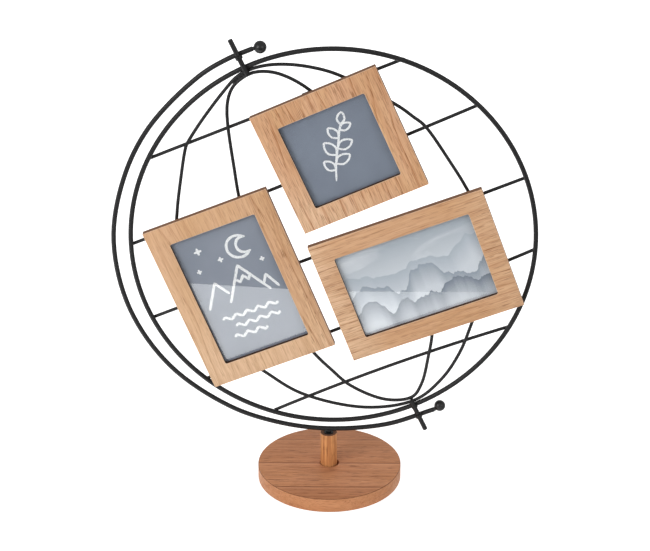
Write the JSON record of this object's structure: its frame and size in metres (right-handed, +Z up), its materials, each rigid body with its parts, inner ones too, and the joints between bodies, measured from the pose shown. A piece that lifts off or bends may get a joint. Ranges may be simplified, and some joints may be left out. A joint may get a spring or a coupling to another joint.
{
  "type": "multi-photo frame",
  "caption": "Desk-globe photo display: a wire globe with wooden photo frames turns on a tilted axis in a wire arc on a wooden post and round base.",
  "frame": {"origin": "middle of the felt pad's underside, on the surface that the base stands on", "axes": "+Z up; the picture sides of the frames face -Y; +X to the right as seen from the front"},
  "size_m": [0.4256, 0.1494, 0.4813],
  "materials": {
    "black_wire": "satin black powder coat on steel wire",
    "black_steel": "black-finished steel",
    "zinc_steel": "bright zinc plate",
    "oak_veneer": "oiled oak veneer with dark-stained edges",
    "base_wood": "oiled boards laid edge to edge",
    "post_wood": "oiled turned wood",
    "glass": "clear glazing",
    "slate_card": "matt printed card, slate grey",
    "pale_card": "matt printed card, pale grey-blue",
    "hardboard": "brown hardboard",
    "black_nylon": "moulded nylon",
    "felt": "pressed felt"
  },
  "bodies": {
    "stand": {"felt_pad": "felt", "base": "base_wood", "post": "post_wood", "threaded_insert": "black_steel", "arc_stud": "black_wire", "base_washer": "zinc_steel", "base_screw": "zinc_steel", "meridian_arc": "black_wire", "arc_ball_top": "black_wire", "arc_ball_bottom": "black_wire", "pivot_strap_top": "black_wire", "pivot_strap_bottom": "black_wire"},
    "globe": {"globe_ring": "black_wire", "axis_pin_top": "black_wire", "axis_pin_bottom": "black_wire", "parallel_wire_1": "black_wire", "parallel_wire_2": "black_wire", "parallel_wire_3": "black_wire", "parallel_wire_4": "black_wire", "parallel_wire_5": "black_wire", "meridian_wire_outer": "black_wire", "meridian_wire_inner": "black_wire", "portrait_frame": "oak_veneer", "portrait_glass": "glass", "portrait_photo_card": "slate_card", "portrait_back_board": "hardboard", "portrait_button_screw_left": "zinc_steel", "portrait_button_screw_right": "zinc_steel", "portrait_wire_clip_top": "black_nylon", "portrait_wire_clip_bottom": "black_nylon", "portrait_clip_screw_top": "zinc_steel", "portrait_clip_screw_bottom": "zinc_steel", "square_frame": "oak_veneer", "square_glass": "glass", "square_photo_card": "slate_card", "square_back_board": "hardboard", "square_button_screw_left": "zinc_steel", "square_button_screw_right": "zinc_steel", "square_wire_clip_top": "black_nylon", "square_wire_clip_bottom": "black_nylon", "square_clip_screw_top": "zinc_steel", "square_clip_screw_bottom": "zinc_steel", "landscape_frame": "oak_veneer", "landscape_glass": "glass", "landscape_photo_card": "pale_card", "landscape_back_board": "hardboard", "landscape_button_screw_left": "zinc_steel", "landscape_button_screw_right": "zinc_steel", "landscape_wire_clip_top": "black_nylon", "landscape_wire_clip_bottom": "black_nylon", "landscape_clip_screw_top": "zinc_steel", "landscape_clip_screw_bottom": "zinc_steel"},
    "portrait_button_left": {"portrait_turn_button_left": "black_steel"},
    "portrait_button_right": {"portrait_turn_button_right": "black_steel"},
    "square_button_left": {"square_turn_button_left": "black_steel"},
    "square_button_right": {"square_turn_button_right": "black_steel"},
    "landscape_button_left": {"landscape_turn_button_left": "black_steel"},
    "landscape_button_right": {"landscape_turn_button_right": "black_steel"}
  },
  "joints": [
    {"name": "globe_spin", "type": "hinge", "parent": "stand", "child": "globe", "pos_m": [0.00296, -0.0052, 0.26805], "axis": [-0.4194, 0, 0.9078], "continuous": true},
    {"name": "portrait_button_left_turn", "type": "hinge", "parent": "globe", "child": "portrait_button_left", "pos_m": [-0.14207, -0.0052, 0.20009], "axis": [0, 1, 0], "range_deg": [-90, 90]},
    {"name": "portrait_button_right_turn", "type": "hinge", "parent": "globe", "child": "portrait_button_right", "pos_m": [-0.03753, -0.0052, 0.24191], "axis": [0, 1, 0], "range_deg": [-90, 90]},
    {"name": "square_button_left_turn", "type": "hinge", "parent": "globe", "child": "square_button_left", "pos_m": [-0.04187, -0.0052, 0.34719], "axis": [0, 1, 0], "range_deg": [-90, 90]},
    {"name": "square_button_right_turn", "type": "hinge", "parent": "globe", "child": "square_button_right", "pos_m": [0.06107, -0.0052, 0.39281], "axis": [0, 1, 0], "range_deg": [-90, 90]},
    {"name": "landscape_button_left_turn", "type": "hinge", "parent": "globe", "child": "landscape_button_left", "pos_m": [0.01055, -0.0052, 0.20833], "axis": [0, 1, 0], "range_deg": [-90, 90]},
    {"name": "landscape_button_right_turn", "type": "hinge", "parent": "globe", "child": "landscape_button_right", "pos_m": [0.16285, -0.0052, 0.26527], "axis": [0, 1, 0], "range_deg": [-90, 90]}
  ]
}
